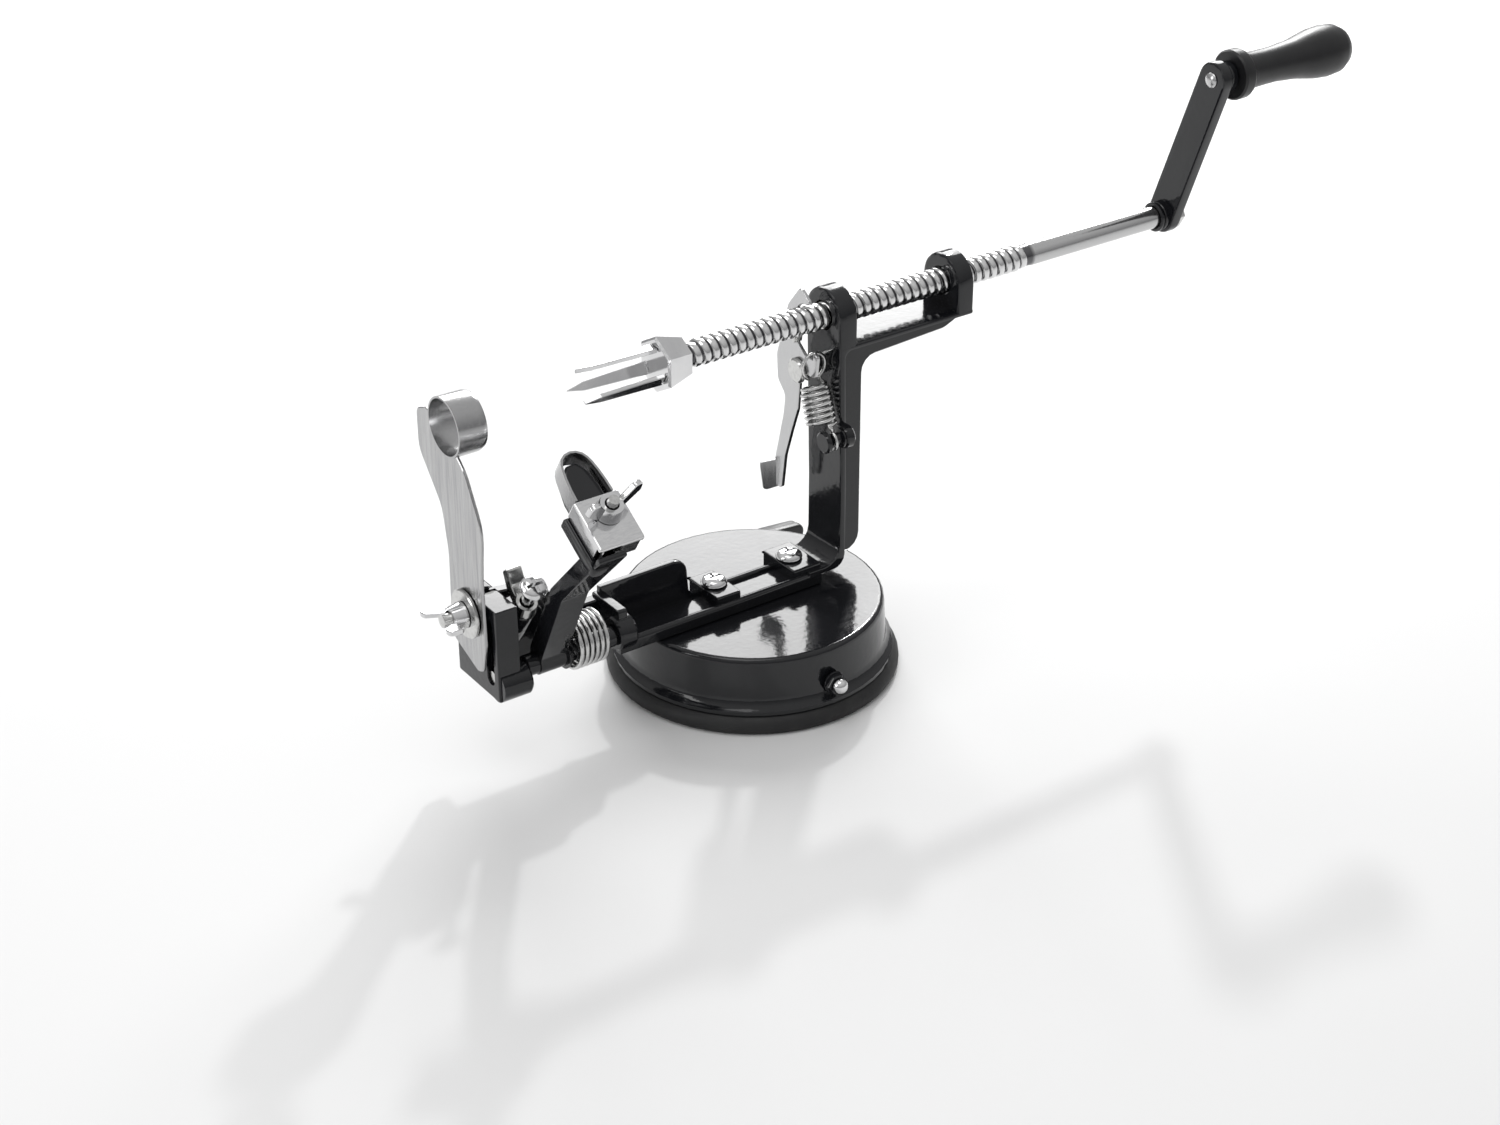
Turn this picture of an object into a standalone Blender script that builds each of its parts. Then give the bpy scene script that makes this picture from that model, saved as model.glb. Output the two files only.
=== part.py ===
"""Suction-base crank peeler and corer: cast frame on a round suction base, screw-fed fork
spindle with a crank, sprung release lever, sprung peeling arm and a coring-slicing blade.
Lengths below are millimetres and are scaled to metres when each object is made.
X runs along the spindle toward the crank, Z is up, the origin is under the base centre."""

import math

import bmesh
import bpy
from mathutils import Matrix, Vector

MM = 0.001

# spindle
AXIS_Z = 144.5
THREAD_R, CORE_R, ROD_R, PITCH = 5.55, 4.35, 4.75, 4.0
HUB_X0, HUB_X1 = -45.0, -32.6
THREAD_END, ROD_END = 132.0, 221.0
PRONG_LEN, PRONG_RING = 35.0, 7.0

# suction base
BASE_R, BASE_TOP, WALL = 53.4, 30.9, 3.0
FLANGE_R, RUBBER_R, RUBBER_TOP = 57.4, 60.0, 7.3
PIN_Z, PIN_R, CAM_R, CAM_THROW = 16.3, 2.5, 6.0, 2.2
LEVER_REACH = 62.0

# cast frame
FLOOR0, FLOOR1, RAIL_TOP, PAD_TOP = 31.2, 35.3, 37.0, 40.3
RAIL_Y, RIB_Y0, RIB_Y1 = -11.5, 3.5, 6.5
SCREW_X, SCREW_Y = 18.6, 0.6
POST_LOW, POST_HIGH, POST_T, POST_Y0, POST_Y1 = 35.3, 33.7, 2.9, -11.5, 10.8
ARM_TOP, ARM_T, LUG_R, LUG_BORE = 134.2, 2.2, 11.5, 6.1
WEB_X, WEB_Y0, WEB_Y1 = 49.6, -6.0, 7.0
LUG1_X0, LUG1_X1, LUG2_X0, LUG2_X1 = 33.6, 42.2, 92.2, 100.5
CHEEK_X0, CHEEK_X1, CHEEK_TOP = -71.2, -67.0, 51.0
BLOCK_X0, BLOCK_X1, BLOCK_TOP = -127.5, -117.7, 71.5
ROD_Y, ROD_Z, PIVOT_R = -10.0, 40.4, 2.6

# crank
CRANK_X, CRANK_T = 210.5, 5.3
GRIP_Y, GRIP_Z = -23.4, 211.1

# release lever
LEV_X0, LEV_X1 = 25.3, 26.8
LEV_Y, LEV_Z = 4.4, 121.4
STUD_Y, STUD_Z = -14.3, 97.2
SPRING_X = 26.9

# peeling arm and its head frame: x along X, y up the blade, z out of the clamp plate
ARM_X0, ARM_X1 = -108.0, -96.2
HEAD = Vector((-97.5, -40.8, 123.0))
HEAD_TILT = math.radians(32.5)
BOX_W, BOX_L, BOX_D, SHEET = 19.1, 21.5, 9.0, 1.2
BAND_HALF, BAND_W, BAND_T = 7.5, 8.2, 0.9
BOLT_XY = (0.9, -7.8)

# slicer
SLICE_X0, SLICE_X1 = -130.2, -128.9
SLICE_Y, SLICE_Z = 0.0, 65.2
RING_R, RING_T = 10.9, 0.8

# stop screw axis
STOP_X, STOP_Y, STOP_Z = -110.7, -16.6, 78.0
STOP_TILT = math.radians(33.0)

SOLID = {"X": Vector((1, 0, 0)), "Y": Vector((0, 1, 0)), "Z": Vector((0, 0, 1))}
MATERIALS = {
    "black_enamel": ((0.012, 0.012, 0.013), 0.0, 0.16),
    "black_plastic": ((0.015, 0.015, 0.016), 0.0, 0.42),
    "black_rubber": ((0.02, 0.02, 0.021), 0.0, 0.7),
    "chrome": ((0.78, 0.78, 0.79), 1.0, 0.12),
    "zinc": ((0.66, 0.66, 0.65), 1.0, 0.28),
    "blade_steel": ((0.6, 0.6, 0.61), 1.0, 0.3),
    "spring_steel": ((0.7, 0.7, 0.7), 1.0, 0.2),
}


def clear_scene():
    for obj in list(bpy.data.objects):
        bpy.data.objects.remove(obj)
    for mesh in list(bpy.data.meshes):
        bpy.data.meshes.remove(mesh)


def make_materials():
    for name, (colour, metal, rough) in MATERIALS.items():
        mat = bpy.data.materials.new(name)
        mat.use_nodes = True
        shader = mat.node_tree.nodes["Principled BSDF"]
        shader.inputs["Base Color"].default_value = (*colour, 1.0)
        shader.inputs["Metallic"].default_value = metal
        shader.inputs["Roughness"].default_value = rough
        mat.diffuse_color = (*colour, 1.0)


# ---------------------------------------------------------------- shapes


def rounded(corners, steps=4):
    """2-D outline from (u, v, radius) corners, each turned into an arc."""
    out = []
    count = len(corners)
    for i, (u, v, radius) in enumerate(corners):
        here = Vector((u, v))
        if radius <= 0:
            out.append(here)
            continue
        before = (Vector(corners[i - 1][:2]) - here)
        after = (Vector(corners[(i + 1) % count][:2]) - here)
        half = before.angle(after) / 2
        back = min(radius / math.tan(half), before.length * 0.49, after.length * 0.49)
        radius = back * math.tan(half)
        start, end = here + before.normalized() * back, here + after.normalized() * back
        centre = here + (before.normalized() + after.normalized()).normalized() * (radius / math.sin(half))
        a, b = start - centre, end - centre
        turn = math.atan2(a.x * b.y - a.y * b.x, a.dot(b))
        for k in range(steps + 1):
            t = turn * k / steps
            out.append(centre + Vector((a.x * math.cos(t) - a.y * math.sin(t),
                                        a.x * math.sin(t) + a.y * math.cos(t))))
    return out


def place(axis, u, v, t):
    """Point from two in-plane coordinates and one along the axis."""
    return {"X": (t, u, v), "Y": (u, t, v), "Z": (u, v, t)}[axis]


def bevel_sharp(bm, width, segments, least=0.6):
    edges = [e for e in bm.edges if len(e.link_faces) == 2 and e.calc_face_angle(0) > least]
    bmesh.ops.bevel(bm, geom=edges, offset=width, segments=segments, profile=0.5,
                    affect="EDGES", clamp_overlap=True)


def prism(axis, outline, low, high, bevel=0.0, segments=2):
    bm = bmesh.new()
    bottom = [bm.verts.new(place(axis, p[0], p[1], low)) for p in outline]
    top = [bm.verts.new(place(axis, p[0], p[1], high)) for p in outline]
    bm.faces.new(bottom)
    bm.faces.new(reversed(top))
    for i in range(len(outline)):
        j = (i + 1) % len(outline)
        bm.faces.new((bottom[i], top[i], top[j], bottom[j]))
    bmesh.ops.recalc_face_normals(bm, faces=bm.faces)
    if bevel > 0:
        bevel_sharp(bm, bevel, segments)
    return bm


def box(x0, x1, y0, y1, z0, z1, bevel=0.0, segments=2):
    return prism("Z", [(x0, y0), (x1, y0), (x1, y1), (x0, y1)], z0, z1, bevel, segments)


def revolve(axis, centre, profile, steps, ring=False):
    """Solid of revolution from (radius, height) pairs; a ring profile closes on itself."""
    bm = bmesh.new()
    rings = []
    for radius, height in profile:
        if radius < 1e-6:
            rings.append([bm.verts.new(place(axis, centre[0], centre[1], height))])
        else:
            rings.append([bm.verts.new(place(axis, centre[0] + radius * math.cos(math.tau * k / steps),
                                             centre[1] + radius * math.sin(math.tau * k / steps), height))
                          for k in range(steps)])
    pairs = list(zip(rings, rings[1:] + rings[:1])) if ring else list(zip(rings, rings[1:]))
    for a, b in pairs:
        for k in range(steps):
            j = (k + 1) % steps
            corners = [a[k % len(a)], a[j % len(a)], b[j % len(b)], b[k % len(b)]]
            corners = [c for i, c in enumerate(corners) if c not in corners[:i]]
            if len(corners) > 2:
                bm.faces.new(corners)
    if not ring:
        for end in (rings[0], rings[-1]):
            if len(end) > 1:
                bm.faces.new(end)
    bmesh.ops.recalc_face_normals(bm, faces=bm.faces)
    return bm


def cylinder(axis, centre, radius, low, high, steps=24, chamfer=0.0):
    c = chamfer
    profile = [(radius - c, low), (radius, low + c), (radius, high - c), (radius - c, high)] if c else [
        (radius, low), (radius, high)]
    return revolve(axis, centre, profile, steps)


def tube(points, radius, sides=6):
    """Round wire along a polyline, with flat ends."""
    points = [Vector(p) for p in points]
    bm = bmesh.new()
    normal, last, rings = None, None, []
    for i, point in enumerate(points):
        ahead = (points[min(i + 1, len(points) - 1)] - points[max(i - 1, 0)]).normalized()
        if normal is None:
            normal = ahead.orthogonal().normalized()
        else:
            normal = last.rotation_difference(ahead) @ normal
            normal = (normal - ahead * normal.dot(ahead)).normalized()
        side = ahead.cross(normal)
        rings.append([bm.verts.new(point + (normal * math.cos(math.tau * k / sides)
                                            + side * math.sin(math.tau * k / sides)) * radius)
                      for k in range(sides)])
        last = ahead
    for a, b in zip(rings, rings[1:]):
        for k in range(sides):
            j = (k + 1) % sides
            bm.faces.new((a[k], a[j], b[j], b[k]))
    bm.faces.new(rings[0])
    bm.faces.new(rings[-1])
    bmesh.ops.recalc_face_normals(bm, faces=bm.faces)
    return bm


def moved(bm, matrix):
    bmesh.ops.transform(bm, matrix=matrix, verts=bm.verts)
    return bm


def carve(body, *steps):
    """Applies exact Booleans in order: each step is an operation name and a shape."""
    made = []

    def temporary(bm):
        bmesh.ops.recalc_face_normals(bm, faces=bm.faces)
        mesh = bpy.data.meshes.new("temporary")
        bm.to_mesh(mesh)
        bm.free()
        obj = bpy.data.objects.new("temporary", mesh)
        bpy.context.scene.collection.objects.link(obj)
        made.append(obj)
        return obj

    target = temporary(body)
    for operation, shape in steps:
        mod = target.modifiers.new(operation, "BOOLEAN")
        mod.operation = {"+": "UNION", "-": "DIFFERENCE", "&": "INTERSECT"}[operation]
        mod.solver = "EXACT"
        mod.object = temporary(shape)
    bpy.context.view_layer.update()
    mesh = bpy.data.meshes.new_from_object(target.evaluated_get(bpy.context.evaluated_depsgraph_get()))
    out = bmesh.new()
    out.from_mesh(mesh)
    bpy.data.meshes.remove(mesh)
    for obj in made:
        data = obj.data
        bpy.data.objects.remove(obj)
        bpy.data.meshes.remove(data)
    bmesh.ops.remove_doubles(out, verts=out.verts, dist=1e-3)
    bmesh.ops.dissolve_degenerate(out, edges=out.edges, dist=1e-3)
    return out


def keep(name, bm, material, pivot=(0, 0, 0)):
    """Stores a shape as an object in metres, with its origin at the pivot."""
    pivot = Vector(pivot)
    bmesh.ops.translate(bm, verts=bm.verts, vec=-pivot)
    bmesh.ops.scale(bm, verts=bm.verts, vec=(MM, MM, MM))
    mesh = bpy.data.meshes.new(name)
    bm.to_mesh(mesh)
    bm.free()
    mesh.materials.append(bpy.data.materials[material])
    mesh.shade_smooth()
    mesh.set_sharp_from_angle(angle=math.radians(38))
    obj = bpy.data.objects.new(name, mesh)
    obj.location = pivot * MM
    PART.objects.link(obj)


def arc(cx, cy, radius, first, last, steps):
    return [(cx + radius * math.cos(math.radians(first + (last - first) * k / steps)),
             cy + radius * math.sin(math.radians(first + (last - first) * k / steps)))
            for k in range(steps + 1)]


def pan_head(radius, height, steps=20):
    """Screw head standing on z = 0 with a cross recess, shank left to the caller."""
    profile = [(radius - 0.3, 0), (radius, 0.5), (radius * 0.96, height * 0.5),
               (radius * 0.8, height * 0.82), (radius * 0.45, height * 0.97), (0, height)]
    head = revolve("Z", (0, 0), profile, steps)
    slot = radius * 0.62
    cross = carve(box(-slot, slot, -0.65, 0.65, height - 1.5, height + 1),
                  ("+", box(-0.65, 0.65, -slot, slot, height - 1.5, height + 1)))
    return carve(head, ("-", cross))


def wing_nut(bore, turn=0.0):
    """Wing nut standing on z = 0 with its ears spread along X."""
    hub = revolve("Z", (0, 0), [(bore, 0), (5.4, 0), (5.4, 1.2), (4.5, 5.6), (bore, 5.6)], 20, ring=True)
    ear = rounded([(bore + 1.0, 0.4, 0), (6.2, 0.4, 0.8), (12.8, 7.0, 1.0), (12.2, 12.2, 2.2),
                   (8.6, 12.0, 1.6), (bore + 1.0, 5.3, 0)], 3)
    nut = carve(hub, ("+", prism("Y", ear, -1.1, 1.1, 0.35, 1)),
                ("+", prism("Y", [(-u, v) for u, v in ear], -1.1, 1.1, 0.35, 1)))
    return moved(nut, Matrix.Rotation(turn, 4, "Z"))


def threaded(radius, low, high, pitch, depth, steps=10):
    """Ridged rod along Z that stands for a fine thread: rings rather than a helix."""
    profile = [(0, low), (radius - depth, low)]
    z = low + pitch * 0.4
    while z + pitch < high:
        profile += [(radius, z), (radius - depth, z + pitch * 0.5)]
        z += pitch
    profile += [(radius - depth, high), (0, high)]
    return revolve("Z", (0, 0), profile, steps)


# ---------------------------------------------------------------- base


def base_housing():
    outer = [(0, BASE_TOP), (BASE_R - 2.2, BASE_TOP), (BASE_R - 0.9, BASE_TOP - 0.35),
             (BASE_R - 0.15, BASE_TOP - 1.2), (BASE_R + 0.1, BASE_TOP - 2.6), (BASE_R + 0.9, 14.2),
             (BASE_R + 1.3, 12.0), (BASE_R + 2.4, 10.5), (FLANGE_R - 0.7, 9.9), (FLANGE_R, 9.2),
             (FLANGE_R, 7.7)]
    inner = [(BASE_R - WALL + 0.8, 7.7), (BASE_R - WALL, 26.2), (BASE_R - WALL - 2.0, 27.6), (0, 27.6)]
    shell = revolve("Z", (0, 0), outer + inner, 48)
    steps = []
    for sign in (-1, 1):
        steps.append(("+", cylinder("Z", (sign * SCREW_X, SCREW_Y), 4.6, 19.0, 28.5, 16)))
    for sign in (-1, 1):
        steps.append(("-", cylinder("Z", (sign * SCREW_X, SCREW_Y), 2.3, 15.0, 33.0, 16)))
        steps.append(("-", cylinder("Y", (0, PIN_Z), PIN_R + 0.35, sign * 48.0, sign * 60.0, 20)
                      if sign > 0 else cylinder("Y", (0, PIN_Z), PIN_R + 0.35, -60.0, -48.0, 20)))
    for x in (-15.2, 22.4):
        steps.append(("-", prism("Z", rounded([(x - 1.1, 18.0, 1.0), (x + 1.1, 18.0, 1.0),
                                               (x + 1.1, 24.4, 1.0), (x - 1.1, 24.4, 1.0)], 3), 24.0, 34.0)))
    keep("base_housing", carve(shell, *steps), "black_enamel")


def rubber_foot():
    profile = [(0, 0), (57.6, 0), (59.2, 0.5), (RUBBER_R, 1.9), (RUBBER_R - 0.1, 3.6), (59.0, 5.4),
               (57.6, 6.8), (56.0, RUBBER_TOP), (50.8, RUBBER_TOP), (49.6, 6.0), (48.0, 3.0),
               (44.0, 2.4), (0, 2.4)]
    keep("rubber_foot", revolve("Z", (0, 0), profile, 48), "black_rubber")


def suction_stud():
    centre = PIN_Z + CAM_THROW
    yoke = box(-11.0, 11.0, -5.0, 5.0, centre - 9.0, centre + 8.2, 0.8, 1)
    hole = box(-8.8, 8.8, -6.0, 6.0, centre - CAM_R - 0.8, centre + CAM_R + 0.8)
    foot = revolve("Z", (0, 0), [(0, 5.7), (12.0, 5.7), (12.0, 7.0), (4.0, 8.2), (4.0, centre - 8.0),
                                 (0, centre - 8.0)], 24)
    keep("suction_stud", carve(yoke, ("-", hole), ("+", foot)), "zinc")


def cam_pin():
    pin = revolve("Y", (0, PIN_Z), [(0, -62.8), (1.7, -62.5), (2.8, -61.6), (3.2, -60.3), (3.2, -59.4),
                                    (PIN_R, -59.2), (PIN_R, 61.0), (1.6, 61.8), (0, 61.9)], 20)
    cam = cylinder("Y", (0, PIN_Z + CAM_THROW), CAM_R, -4.6, 4.6, 24, 0.4)
    keep("cam_pin", carve(pin, ("+", cam)), "chrome", (0, 0, PIN_Z))


def pin_nut():
    nut = revolve("Y", (0, PIN_Z), [(0, -58.9), (4.0, -58.9), (4.6, -58.1), (4.6, -55.7), (0, -55.7)], 6)
    nut = carve(nut, ("+", cylinder("Y", (0, PIN_Z), 4.6, -56.2, -55.3, 20, 0.2)),
                ("-", cylinder("Y", (0, PIN_Z), PIN_R + 0.3, -60.0, -50.0, 20)))
    keep("pin_nut", nut, "black_enamel", (0, 0, PIN_Z))


def suction_lever():
    outline = rounded([(-5.1, 11.2, 5.0), (6.0, 11.2, 6.0), (24.0, 12.0, 12.0), (LEVER_REACH - 12, 9.6, 10.0),
                       (LEVER_REACH + 4.5, 8.4, 3.6), (LEVER_REACH + 4.5, 16.0, 3.6),
                       (LEVER_REACH - 12, 17.2, 10.0), (24.0, 18.6, 12.0), (6.0, 21.4, 6.0),
                       (-5.1, 21.4, 5.0)], 4)
    lever = prism("Y", outline, 55.4, 59.2, 0.9, 2)
    pad = rounded([(LEVER_REACH - 18, 10.2, 3.0), (LEVER_REACH + 4.0, 8.8, 3.2),
                   (LEVER_REACH + 4.0, 15.6, 3.2), (LEVER_REACH - 18, 17.4, 3.0)], 4)
    bore = cylinder("Y", (0, PIN_Z), PIN_R + 0.3, 50.0, 66.0, 20)
    keep("suction_lever", carve(lever, ("+", prism("Y", pad, 56.0, 62.5, 1.4, 2)), ("-", bore)),
         "black_plastic", (0, 57, PIN_Z))


# ---------------------------------------------------------------- frame casting


def beam():
    parts = [box(-70.0, 26.0, RAIL_Y + 0.6, RIB_Y1 - 0.4, FLOOR0, FLOOR1, 0.3, 1)]
    rail = rounded([(RAIL_Y, FLOOR0, 0.6), (RAIL_Y + 3.3, FLOOR0, 0.3), (RAIL_Y + 3.3, RAIL_TOP, 1.4),
                    (RAIL_Y, RAIL_TOP, 1.7)], 3)
    parts.append(prism("X", rail, -70.6, 26.2))
    rib = rounded([(RIB_Y0, FLOOR0, 0.3), (RIB_Y1, FLOOR0, 0.3), (RIB_Y1, RAIL_TOP, 1.2),
                   (RIB_Y0, RAIL_TOP, 1.2)], 2)
    parts.append(prism("X", rib, -70.0, 28.0))
    fin = rounded([(-70.0, 33.0, 0), (-20.0, 33.0, 0), (-20.0, RAIL_TOP - 0.2, 0), (-28.2, RAIL_TOP - 0.2, 3.4),
                   (-29.6, 54.3, 6.0), (-70.0, 54.2, 0)], 5)
    parts.append(prism("Y", fin, RIB_Y0 + 0.05, RIB_Y1 - 0.05, 0.7, 2))
    parts.append(box(-24.0, -12.4, RAIL_Y + 1.4, 10.6, FLOOR0, PAD_TOP, 1.0, 2))
    parts.append(box(13.2, 27.0, RAIL_Y + 1.4, 11.6, FLOOR0, PAD_TOP, 1.0, 2))
    return parts


def post_left(z):
    return POST_LOW + (POST_HIGH - POST_LOW) * max(0.0, z - 70.0) / (ARM_TOP - 70.0)


def post_and_arm():
    """Bent plate for the post and the arm, a web behind it and a lug for the spring stud."""
    side = rounded([(20.0, 33.0, 0), (25.4, 33.0, 0), (26.2, 35.4, 0.8), (POST_LOW + POST_T, 35.4, 10.2),
                    (POST_LOW + POST_T, 70.0, 0),
                    (POST_HIGH + POST_T, ARM_TOP - ARM_T, 3.0), (LUG2_X1, ARM_TOP - ARM_T, 0),
                    (LUG2_X1, ARM_TOP, 0), (POST_HIGH, ARM_TOP, 0), (POST_LOW, 70.0, 0),
                    (POST_LOW, 38.2, 7.6), (20.0, 38.2, 0)], 4)
    web = rounded([(POST_LOW - 0.9, 38.2, 0), (WEB_X, 38.2, 10.0), (WEB_X - 0.4, 124.0, 9.0), (62.0, 124.6, 6.0),
                   (90.6, 126.0, 8.0), (96.6, 128.6, 2.0), (97.2, ARM_TOP - 0.8, 0), (35.0, ARM_TOP - 0.8, 0),
                   (POST_LOW + 0.8, 70.0, 0), (POST_LOW + 0.8, 50.0, 0)], 4)
    lug = arc(STUD_Y, STUD_Z, 4.8, 100, 260, 8) + [(POST_Y0 + 1.2, STUD_Z - 5.6), (POST_Y0 + 1.2, STUD_Z + 4.4)]
    return [prism("Y", side, POST_Y0, POST_Y1, 0.8, 2), prism("Y", web, WEB_Y0, WEB_Y1, 0.8, 1),
            prism("X", lug, post_left(STUD_Z) - 1.8, post_left(STUD_Z) + 2.2, 0.6, 1)]


def bearing(x0, x1, foot):
    """Round-topped bearing lug around the spindle axis."""
    outline = [(-LUG_R, foot)] + arc(0, AXIS_Z, LUG_R, 180, 0, 14) + [(LUG_R, foot)]
    return prism("X", outline, x0, x1, 1.2, 2)


def end_block():
    block = box(BLOCK_X0, BLOCK_X1, -16.0, 15.0, 32.0, BLOCK_TOP, 0.8, 2)
    boss = revolve("X", (-12.2, 37.8), [(6.8, BLOCK_X0 + 0.9), (6.8, -114.6), (6.2, -113.8)], 24)
    web = rounded([(-119.0, 33.4, 0), (-68.5, 33.4, 0), (-68.5, CHEEK_TOP - 1.5, 0), (-80.0, CHEEK_TOP - 1.5, 8.0),
                   (-100.0, 66.0, 10.0), (-119.0, 68.5, 0)], 4)
    cheek = rounded([(-12.6, 34.0, 2.0), (-5.5, 31.4, 1.5), (8.2, 31.4, 1.0), (8.2, CHEEK_TOP, 1.5),
                     (RAIL_Y, CHEEK_TOP, 1.5)], 3)
    shoulder = revolve("X", (ROD_Y + 0.3, ROD_Z + 0.4), [(6.4, -73.0), (7.0, -72.2), (7.0, -66.0), (6.4, -65.2)], 24)
    lug = moved(revolve("Z", (0, 0), [(4.7, -34.0), (4.9, -17.4), (4.3, -16.6)], 20), stop_frame())
    pad = box(BLOCK_X0 + 4.0, -108.4, -6.0, 8.0, 52.0, 65.5, 1.0, 1)
    return [block, boss, prism("Y", web, 3.2, 8.0, 0.6, 1), prism("X", cheek, CHEEK_X0, CHEEK_X1, 0.6, 2),
            shoulder, pad, lug]


def stop_frame():
    return Matrix.Translation((STOP_X, STOP_Y, STOP_Z)) @ Matrix.Rotation(STOP_TILT, 4, "X")


def frame_casting():
    shapes = beam() + post_and_arm()
    shapes += [bearing(LUG1_X0, LUG1_X1, 132.4), bearing(LUG2_X0, LUG2_X1, 132.4)]
    shapes += end_block()
    steps = [("+", shape) for shape in shapes[1:]]
    for x in (-SCREW_X + 0.2, SCREW_X):
        steps.append(("-", cylinder("Z", (x, SCREW_Y), 2.3, 25.0, 45.0, 16)))
    steps.append(("-", cylinder("X", (0, AXIS_Z), LUG_BORE, 30.0, 115.0, 28)))
    steps.append(("-", cylinder("X", (ROD_Y, ROD_Z), PIVOT_R + 0.3, -126.9, -60.0, 20)))
    steps.append(("-", moved(cylinder("Z", (0, 0), 2.9, -40.0, -10.0, 16), stop_frame())))
    steps.append(("-", cylinder("X", (SLICE_Y, SLICE_Z), 3.4, -130.0, -122.0, 16)))
    steps.append(("-", cylinder("X", (SLICE_Y, SLICE_Z), 6.5, -123.0, -115.0, 20)))
    for side in (-1, 1):
        slot = rounded([(side * 10.2 - 2.8, 37.6, 2.7), (side * 10.2 + 2.8, 37.6, 2.7),
                        (side * 10.2 + 2.8, 66.5, 2.7), (side * 10.2 - 2.8, 66.5, 2.7)], 4)
        if side < 0:
            steps.append(("-", prism("X", slot, BLOCK_X0 - 1.0, BLOCK_X0 + 3.2)))
    steps.append(("-", cylinder("Z", (-121.3, 1.0), 3.1, 66.0, 75.0, 20)))
    steps.append(("-", cylinder("X", (LEV_Y, LEV_Z), 2.3, 30.0, 41.0, 16)))
    steps.append(("-", cylinder("X", (STUD_Y, STUD_Z), 2.3, 30.0, 44.0, 16)))
    body = shapes[0]
    for step in steps:
        body = carve(body, step)
    keep("frame_casting", body, "black_enamel")


def base_screws():
    for name, x in (("base_screw_left", -SCREW_X + 0.2), ("base_screw_right", SCREW_X)):
        head = carve(moved(pan_head(5.5, 3.0), Matrix.Translation((0, 0, PAD_TOP + 0.3))),
                     ("+", cylinder("Z", (0, 0), 1.9, 20.0, PAD_TOP + 0.8, 14, 0.4)))
        keep(name, moved(head, Matrix.Translation((x, SCREW_Y, 0))), "zinc", (x, SCREW_Y, PAD_TOP))


# ---------------------------------------------------------------- spindle


def spindle_rod():
    steps, low, high = 9, HUB_X1 + 0.9, THREAD_END
    rows = int((high - low) / PITCH - 1) * steps
    bm = bmesh.new()
    lines = []
    for shift, radius in ((0.0, CORE_R), (0.3, THREAD_R), (0.62, THREAD_R)):
        lines.append([bm.verts.new((low + PITCH * (k / steps + shift), radius * math.cos(math.tau * k / steps),
                                    AXIS_Z + radius * math.sin(math.tau * k / steps))) for k in range(rows + 1)])
    for a, b in zip(lines, lines[1:]):
        for k in range(rows):
            bm.faces.new((a[k], a[k + 1], b[k + 1], b[k]))
    for k in range(rows - steps):
        bm.faces.new((lines[2][k], lines[2][k + 1], lines[0][k + 1 + steps], lines[0][k + steps]))
    first = lines[0][:steps + 1] + [lines[2][0], lines[1][0]]
    last = lines[2][rows - steps:] + [lines[1][rows], lines[0][rows]]
    for rim, x in ((first, low), (last, low + PITCH * (rows / steps + 0.62))):
        middle = bm.verts.new((x, 0, AXIS_Z))
        for i in range(len(rim)):
            bm.faces.new((rim[i], rim[(i + 1) % len(rim)], middle))
    bmesh.ops.triangulate(bm, faces=bm.faces)
    bmesh.ops.recalc_face_normals(bm, faces=bm.faces)
    end = low + PITCH * rows / steps
    nose = revolve("X", (0, AXIS_Z), [(0, HUB_X0 + 0.8), (3.2, HUB_X0 + 0.8), (3.2, HUB_X1 + 0.4),
                                      (4.0, HUB_X1 + 0.7), (4.0, low + 5.0), (0, low + 5.0)], 20)
    tail = revolve("X", (0, AXIS_Z), [(0, end - 5.0), (4.0, end - 5.0), (4.0, end + 3.2), (ROD_R, end + 4.6),
                                      (ROD_R, CRANK_X - 0.6), (3.4, CRANK_X - 0.6),
                                      (3.4, ROD_END - 0.6), (2.8, ROD_END), (0, ROD_END)], 24)
    keep("spindle_rod", carve(bm, ("+", nose), ("+", tail)), "chrome", (0, 0, AXIS_Z))


def fork():
    hub = revolve("X", (0, AXIS_Z), [(10.6, HUB_X0), (11.6, HUB_X0 + 0.9), (8.2, HUB_X1)], 6)
    hub = moved(hub, Matrix.Translation((0, 0, AXIS_Z)) @ Matrix.Rotation(math.radians(30), 4, "X")
                @ Matrix.Translation((0, 0, -AXIS_Z)))
    keep("fork_hub", carve(hub, ("-", cylinder("X", (0, AXIS_Z), 3.5, HUB_X0 + 0.5, HUB_X1 + 2, 20))),
         "chrome", (0, 0, AXIS_Z))
    for i in range(3):
        outline = rounded([(HUB_X0 - 0.3, -2.6, 0), (HUB_X0 - 0.3, 2.6, 0), (HUB_X0 - 10, 2.3, 0),
                           (HUB_X0 - PRONG_LEN + 7, 1.7, 3.0), (HUB_X0 - PRONG_LEN, 0.25, 0),
                           (HUB_X0 - PRONG_LEN, -0.25, 0), (HUB_X0 - PRONG_LEN + 7, -1.7, 3.0),
                           (HUB_X0 - 10, -2.3, 0)], 3)
        prong = prism("Z", outline, AXIS_Z + PRONG_RING - 0.9, AXIS_Z + PRONG_RING + 0.9, 0.3, 1)
        turn = Matrix.Translation((0, 0, AXIS_Z)) @ Matrix.Rotation(math.tau * i / 3, 4, "X") @ \
            Matrix.Translation((0, 0, -AXIS_Z))
        keep("fork_prong_%d" % (i + 1), moved(prong, turn), "chrome", (0, 0, AXIS_Z))


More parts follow.
